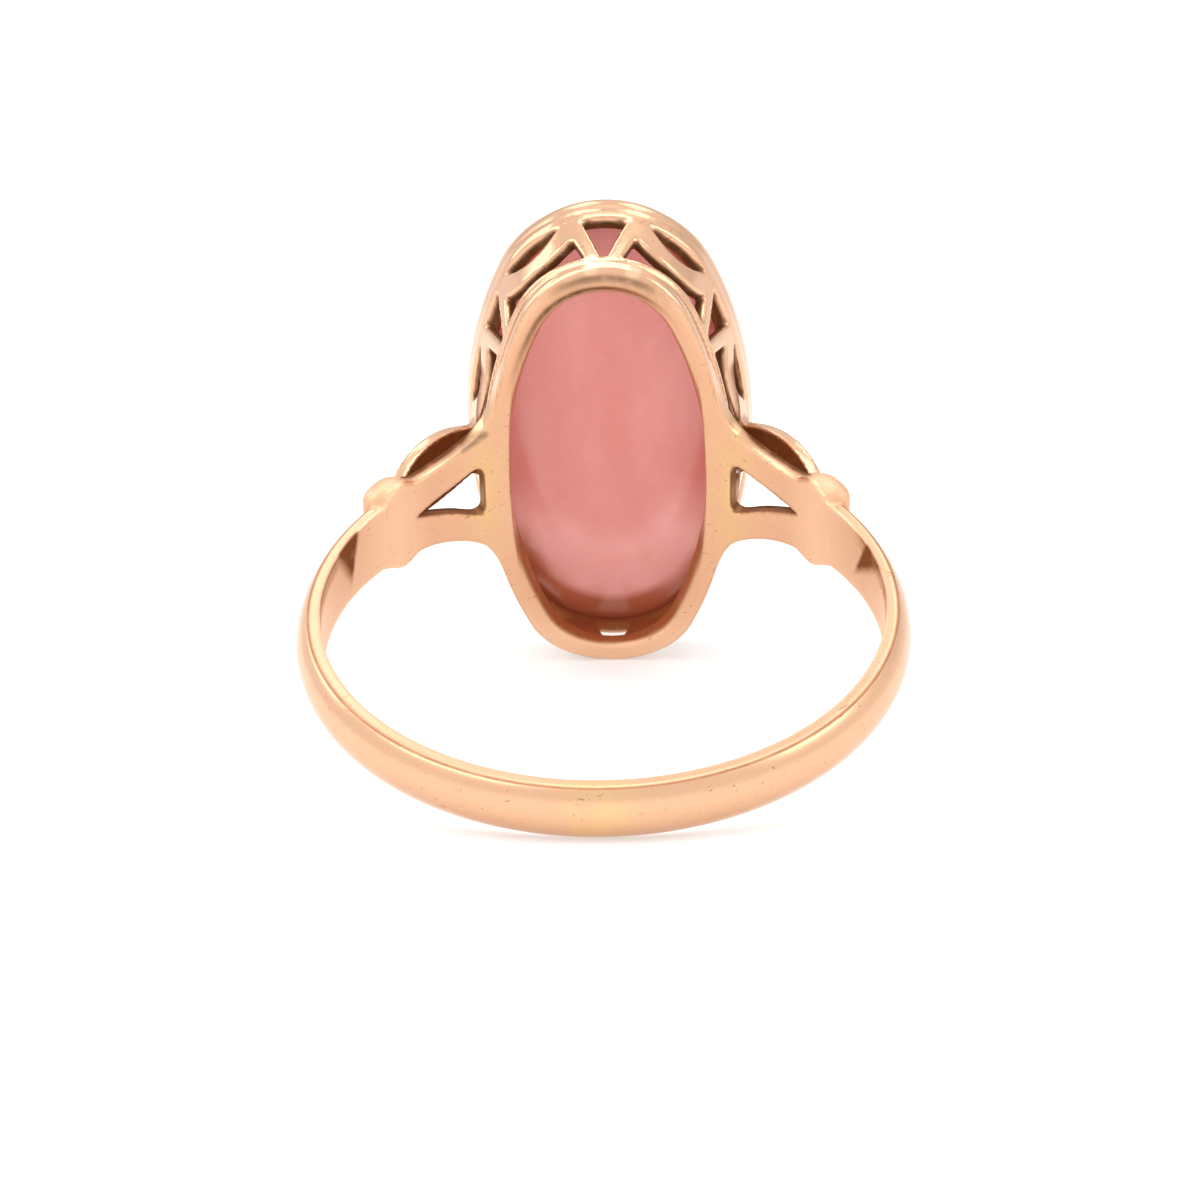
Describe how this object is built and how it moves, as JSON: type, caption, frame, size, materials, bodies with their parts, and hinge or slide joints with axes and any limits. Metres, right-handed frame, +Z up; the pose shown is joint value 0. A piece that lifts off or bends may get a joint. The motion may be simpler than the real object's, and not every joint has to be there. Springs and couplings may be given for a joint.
{
  "type": "rose quartz ring",
  "caption": "Rose gold finger ring with a long oval rose quartz cabochon in a pierced gallery setting, lying at rest on its side.",
  "frame": {"origin": "floor point under the middle of the ring as it lies: centre of the bounding box's bottom", "axes": "+Z up from the floor, +Y from the bottom of the band towards the head, X across the ring, its mirror direction"},
  "size_m": [0.0192, 0.0242, 0.0164],
  "materials": {
    "rose_gold": "polished, softly worn",
    "rose_quartz": "polished, cloudy pink"
  },
  "bodies": {
    "root": {"ring_mount": "rose_gold", "stone": "rose_quartz"}
  },
  "joints": []
}
